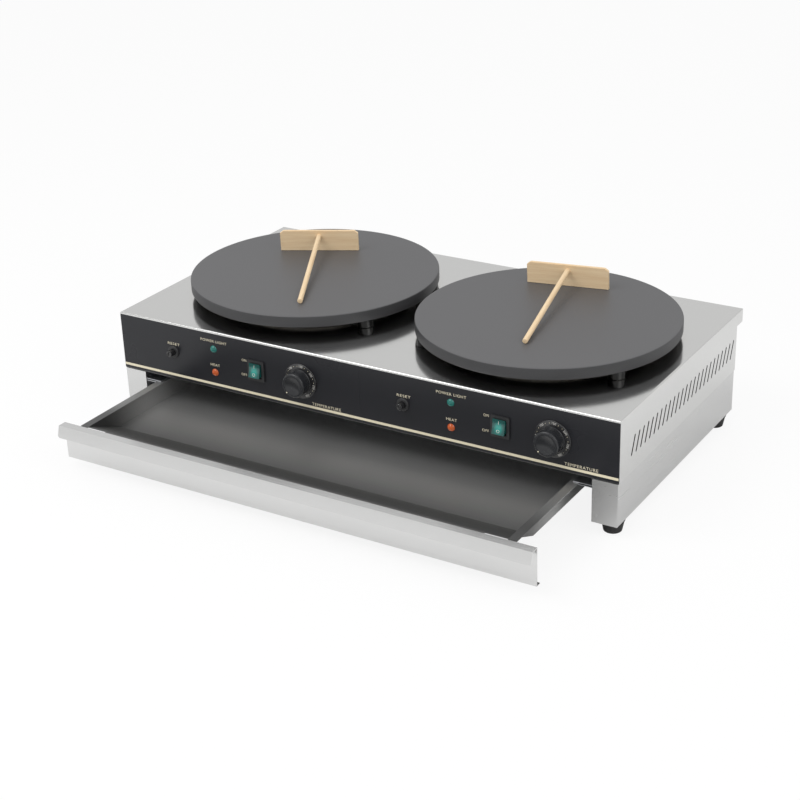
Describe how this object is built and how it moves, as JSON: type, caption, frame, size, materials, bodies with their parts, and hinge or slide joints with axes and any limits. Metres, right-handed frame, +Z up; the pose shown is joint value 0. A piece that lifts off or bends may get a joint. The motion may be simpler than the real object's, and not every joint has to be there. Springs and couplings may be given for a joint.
{
  "type": "electric crepe maker",
  "caption": "Countertop double electric crepe maker: two round cast iron griddles on a steel housing, a control panel, a pull-out crumb drawer and wooden batter spreaders.",
  "frame": {"origin": "on the counter, under the centre of the housing", "axes": "+X to the right along the length, +Y to the back, +Z up"},
  "size_m": [0.862, 0.6538, 0.2501],
  "materials": {
    "stainless": "brushed stainless sheet",
    "galvanised": "plain zinc-coated sheet",
    "zinc_steel": "bright zinc-plated steel",
    "turned_steel": "turned stainless steel",
    "plate_iron": "dark matt coated cast iron",
    "element_steel": "heat-darkened steel tube",
    "copper": "plain copper",
    "black_fascia": "satin black panel",
    "black_gloss": "gloss black phenolic",
    "black_plastic": "matt black plastic",
    "rocker_lens": "translucent teal plastic",
    "green_lens": "clear teal-green lens",
    "orange_lens": "clear orange lens",
    "red_plastic": "plain red plastic",
    "grey_nylon": "dark grey nylon",
    "white_plastic": "natural nylon",
    "beech": "unvarnished pale beech",
    "rubber": "black rubber"
  },
  "bodies": {
    "housing": {"deck_cover": "stainless", "rear_panel": "stainless", "housing_floor": "galvanised", "front_panel": "stainless", "fascia_left": "black_fascia", "fascia_right": "black_fascia", "base_back": "stainless", "base_side_left": "stainless", "base_side_right": "stainless", "drawer_runner_left": "galvanised", "drawer_runner_right": "galvanised", "rear_screws": "zinc_steel", "foot_screws": "zinc_steel", "plate_spacers": "turned_steel", "plate_studs": "zinc_steel", "lamp_holders": "black_plastic", "reset_collars": "black_plastic", "cable_gland": "grey_nylon", "terminal_block": "white_plastic", "foot_front_left": "rubber", "foot_front_right": "rubber", "foot_rear_left": "rubber", "foot_rear_right": "rubber", "baking_plate_left": "plate_iron", "heating_element_left": "element_steel", "heater_clamp_left": "galvanised", "thermostat_left": "black_plastic", "thermostat_bulb_left": "copper", "dial_left": "black_gloss", "switch_body_left": "black_plastic", "power_lamp_left": "green_lens", "heat_lamp_left": "orange_lens", "limiter_left": "black_plastic", "baking_plate_right": "plate_iron", "heating_element_right": "element_steel", "heater_clamp_right": "galvanised", "thermostat_right": "black_plastic", "thermostat_bulb_right": "copper", "dial_right": "black_gloss", "switch_body_right": "black_plastic", "power_lamp_right": "green_lens", "heat_lamp_right": "orange_lens", "limiter_right": "black_plastic"},
    "drawer": {"drawer_tray": "stainless", "drawer_front": "stainless", "drawer_rivets": "zinc_steel"},
    "left_knob": {"knob_left": "black_gloss", "thermostat_shaft_left": "zinc_steel"},
    "left_rocker": {"switch_rocker_left": "rocker_lens"},
    "left_reset_cap": {"reset_cap_left": "black_gloss"},
    "left_reset_pin": {"reset_pin_left": "red_plastic"},
    "left_spreader": {"spreader_blade_left": "beech", "spreader_handle_left": "beech"},
    "right_knob": {"knob_right": "black_gloss", "thermostat_shaft_right": "zinc_steel"},
    "right_rocker": {"switch_rocker_right": "rocker_lens"},
    "right_reset_cap": {"reset_cap_right": "black_gloss"},
    "right_reset_pin": {"reset_pin_right": "red_plastic"},
    "right_spreader": {"spreader_blade_right": "beech", "spreader_handle_right": "beech"}
  },
  "joints": [
    {"name": "drawer_slide", "type": "slide", "parent": "housing", "child": "drawer", "axis": [0, -1, 0], "range_m": [-0.182, 0.12]},
    {"name": "left_knob_turn", "type": "hinge", "parent": "housing", "child": "left_knob", "pos_m": [-0.088, -0.215, 0.1345], "axis": [0, 1, 0], "range_deg": [0, 288]},
    {"name": "left_rocker_tip", "type": "hinge", "parent": "housing", "child": "left_rocker", "pos_m": [-0.1695, -0.211, 0.1345], "axis": [1, 0, 0], "range_deg": [0, 20]},
    {"name": "left_reset_cap_off", "type": "slide", "parent": "housing", "child": "left_reset_cap", "axis": [0, -1, 0], "range_m": [0, 0.03]},
    {"name": "left_reset_press", "type": "slide", "parent": "housing", "child": "left_reset_pin", "axis": [0, 1, 0], "range_m": [0, 0.002], "stiffness_N_per_m": 500},
    {"name": "left_spreader_lift", "type": "slide", "parent": "housing", "child": "left_spreader", "axis": [0, 0, 1], "range_m": [0, 0.15]},
    {"name": "right_knob_turn", "type": "hinge", "parent": "housing", "child": "right_knob", "pos_m": [0.331, -0.215, 0.1345], "axis": [0, 1, 0], "range_deg": [0, 288]},
    {"name": "right_rocker_tip", "type": "hinge", "parent": "housing", "child": "right_rocker", "pos_m": [0.2495, -0.211, 0.1345], "axis": [1, 0, 0], "range_deg": [0, 20]},
    {"name": "right_reset_cap_off", "type": "slide", "parent": "housing", "child": "right_reset_cap", "axis": [0, -1, 0], "range_m": [0, 0.03]},
    {"name": "right_reset_press", "type": "slide", "parent": "housing", "child": "right_reset_pin", "axis": [0, 1, 0], "range_m": [0, 0.002], "stiffness_N_per_m": 500},
    {"name": "right_spreader_lift", "type": "slide", "parent": "housing", "child": "right_spreader", "axis": [0, 0, 1], "range_m": [0, 0.15]}
  ]
}
